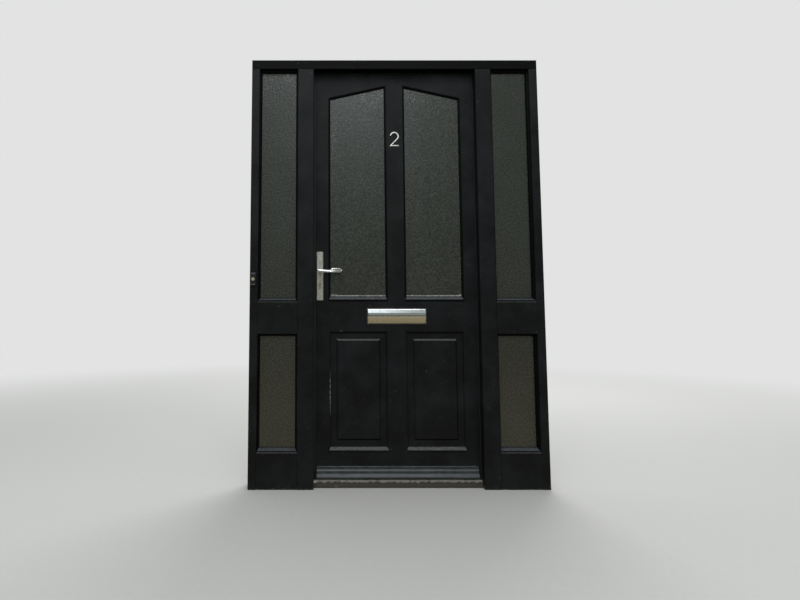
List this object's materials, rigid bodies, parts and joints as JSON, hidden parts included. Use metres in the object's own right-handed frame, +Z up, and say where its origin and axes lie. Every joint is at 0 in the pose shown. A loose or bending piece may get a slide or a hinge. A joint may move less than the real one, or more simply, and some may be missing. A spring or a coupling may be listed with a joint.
{
  "type": "glazed timber entrance door with sidelights and frame",
  "caption": "Black timber entrance door set: an inward-opening leaf with raked lights and fielded panels, lever lock and letter plate, between glazed sidelights in one frame.",
  "frame": {"origin": "middle of the underside of the frame, halfway through its depth, on the level that the frame stands on", "axes": "+Z up, -Y to the outside, +X to the right seen from outside"},
  "size_m": [1.448, 0.1749, 2.123],
  "materials": {
    "painted_timber": "satin black exterior paint on softwood",
    "weather_bar_paint": "satin charcoal paint on hardwood",
    "obscure_glass": "obscured patterned sealed unit, dark behind",
    "black_rubber": "matt black weather seal",
    "mill_aluminium": "weathered mill finish",
    "satin_nickel": "satin nickel plate",
    "polished_chrome": "polished chrome plate",
    "zinc_steel": "bright zinc plated steel",
    "nickel_brass": "nickel plated brass",
    "black_plastic": "moulded black plastic",
    "cream_plastic": "aged translucent cream plastic",
    "liner_plastic": "black moulded liner"
  },
  "bodies": {
    "frame": {"frame_head": "painted_timber", "frame_jamb_left": "painted_timber", "frame_jamb_right": "painted_timber", "mullion_left": "painted_timber", "mullion_right": "painted_timber", "side_mid_rail_left": "painted_timber", "side_mid_rail_right": "painted_timber", "side_bottom_rail_left": "painted_timber", "side_bottom_rail_right": "painted_timber", "side_glass_upper_left": "obscure_glass", "side_glass_upper_right": "obscure_glass", "side_glass_lower_left": "obscure_glass", "side_glass_lower_right": "obscure_glass", "side_beads_left": "painted_timber", "side_beads_right": "painted_timber", "threshold": "mill_aluminium", "threshold_seal": "black_rubber", "frame_seal": "black_rubber", "guard_strip": "satin_nickel", "lock_keep": "zinc_steel", "bell_housing": "black_plastic", "hinge_frame_flaps": "zinc_steel", "hinge_pins": "zinc_steel"},
    "leaf": {"lock_stile": "painted_timber", "hinge_stile": "painted_timber", "leaf_top_rail": "painted_timber", "leaf_mid_rail": "painted_timber", "leaf_bottom_rail": "painted_timber", "upper_muntin": "painted_timber", "lower_muntin": "painted_timber", "panel_left": "painted_timber", "panel_right": "painted_timber", "panel_moulding_left": "painted_timber", "panel_moulding_right": "painted_timber", "leaf_glass_left": "obscure_glass", "leaf_glass_right": "obscure_glass", "light_beads_left": "painted_timber", "light_beads_right": "painted_timber", "weather_bar": "weather_bar_paint", "handle_plate_outer": "satin_nickel", "handle_plate_inner": "satin_nickel", "handle_bolts": "zinc_steel", "lock_case": "zinc_steel", "lock_forend": "zinc_steel", "cylinder_body": "nickel_brass", "letter_plate": "polished_chrome", "letter_sleeve": "liner_plastic", "letter_inner_frame": "polished_chrome", "letter_bolts": "zinc_steel", "hinge_leaf_flaps": "zinc_steel"},
    "lever": {"lever_outer": "satin_nickel", "lever_inner": "satin_nickel", "spindle": "zinc_steel"},
    "latch": {"latch_bolt": "zinc_steel"},
    "dead_bolt": {"deadbolt": "zinc_steel"},
    "plug": {"cylinder_plug": "nickel_brass"},
    "outer_flap": {"letter_flap": "polished_chrome"},
    "inner_flap": {"letter_inner_flap": "polished_chrome"},
    "button": {"bell_button": "cream_plastic"}
  },
  "joints": [
    {"name": "leaf_swing", "type": "hinge", "parent": "frame", "child": "leaf", "pos_m": [0.4205, 0.057, 1.063], "axis": [0, 0, -1], "range_deg": [0, 100]},
    {"name": "lever_turn", "type": "hinge", "parent": "leaf", "child": "lever", "pos_m": [-0.379, 0.029, 1.05], "axis": [0, 1, 0], "range_deg": [0, 40], "stiffness_Nm_per_rad": 2, "springref_deg": -17.19},
    {"name": "latch_slide", "type": "slide", "parent": "leaf", "child": "latch", "axis": [1, 0, 0], "range_m": [0, 0.0125]},
    {"name": "cylinder_turn", "type": "hinge", "parent": "leaf", "child": "plug", "pos_m": [-0.379, 0.029, 0.983], "axis": [0, 1, 0], "range_deg": [0, 360]},
    {"name": "deadbolt_slide", "type": "slide", "parent": "leaf", "child": "dead_bolt", "axis": [-1, 0, 0], "range_m": [0, 0.02]},
    {"name": "letter_flap_lift", "type": "hinge", "parent": "leaf", "child": "outer_flap", "pos_m": [0, -0.0019, 0.8565], "axis": [-1, 0, 0], "range_deg": [0, 90], "stiffness_Nm_per_rad": 0.05, "springref_deg": -17.19},
    {"name": "inner_flap_lift", "type": "hinge", "parent": "leaf", "child": "inner_flap", "pos_m": [0, 0.0589, 0.8565], "axis": [1, 0, 0], "range_deg": [0, 90], "stiffness_Nm_per_rad": 0.05, "springref_deg": -17.19},
    {"name": "bell_press", "type": "slide", "parent": "frame", "child": "button", "axis": [0, 1, 0], "range_m": [0, 0.0016], "stiffness_N_per_m": 800, "springref_m": -0.001}
  ],
  "couplings": [
    {"joint": "latch_slide", "follows": "lever_turn", "m_per_rad": 0.017905},
    {"joint": "cylinder_turn", "follows": "deadbolt_slide", "rad_per_m": 314.16}
  ]
}
